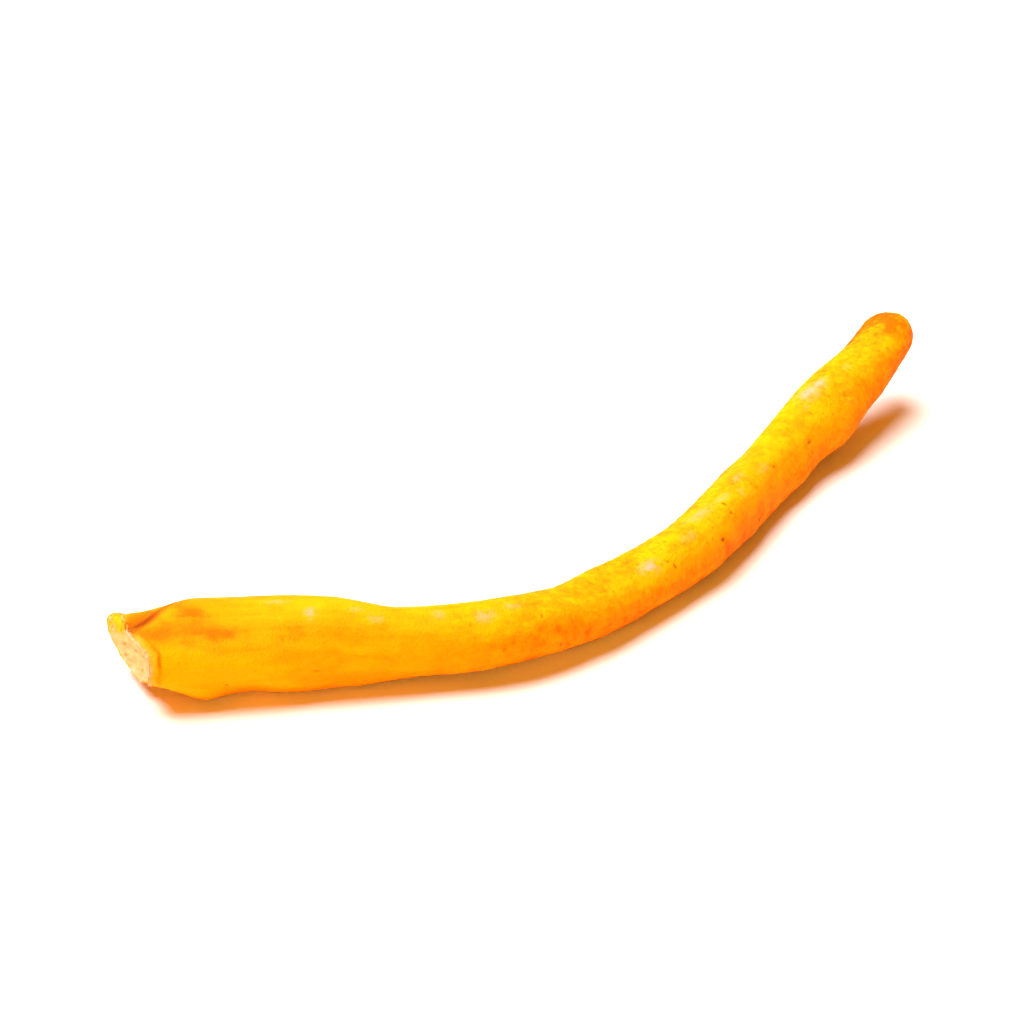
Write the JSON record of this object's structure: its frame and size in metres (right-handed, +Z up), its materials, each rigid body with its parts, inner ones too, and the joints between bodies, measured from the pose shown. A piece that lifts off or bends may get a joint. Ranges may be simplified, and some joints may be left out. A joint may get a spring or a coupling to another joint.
{
  "type": "dried cordyceps fruiting body",
  "caption": "Dried orange cordyceps fruiting body lying on a surface: a slender bent finger with a broad slanted cut base showing pale flesh and a blunt, slightly raised club tip.",
  "frame": {"origin": "on the surface that the piece lies on, under the middle of its bounding box", "axes": "+Z up from the surface, +X along the longest side of the box from the cut base towards the tip, -Y towards the viewer of the picture"},
  "size_m": [0.0497, 0.0384, 0.0059],
  "materials": {
    "dried_fungus": "matt, dry, finely granular orange skin; pale cream flesh on the cut"
  },
  "bodies": {
    "root": {"fruiting_body": "dried_fungus"}
  },
  "joints": []
}
